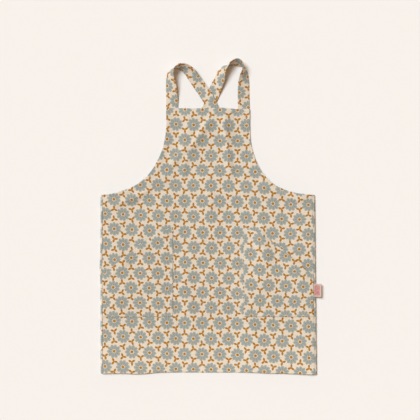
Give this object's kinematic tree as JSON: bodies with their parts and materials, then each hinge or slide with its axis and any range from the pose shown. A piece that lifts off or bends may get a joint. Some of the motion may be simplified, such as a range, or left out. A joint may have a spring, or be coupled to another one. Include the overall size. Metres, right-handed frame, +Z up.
{
  "type": "child's cross-back apron, lying flat",
  "caption": "Child's cross-back apron laid flat: bib front, two back panels wrapped round from the sides, crossing shoulder straps and slant patch pockets.",
  "frame": {"origin": "middle of the apron's footprint, on the surface that it lies on", "axes": "+Y from the hem to the straps, +X to the side with the sewn-in tab, +Z up out of the front"},
  "size_m": [0.4652, 0.664, 0.0253],
  "materials": {
    "printed_cloth": "matt linen and cotton canvas with an all-over floral print",
    "tab_weave": "satin woven ribbon"
  },
  "bodies": {
    "root": {"front_panel": "printed_cloth", "back_panel_left": "printed_cloth", "back_panel_right": "printed_cloth", "strap_left": "printed_cloth", "strap_right": "printed_cloth", "pocket_left": "printed_cloth", "pocket_right": "printed_cloth", "side_tab": "tab_weave"}
  },
  "joints": []
}
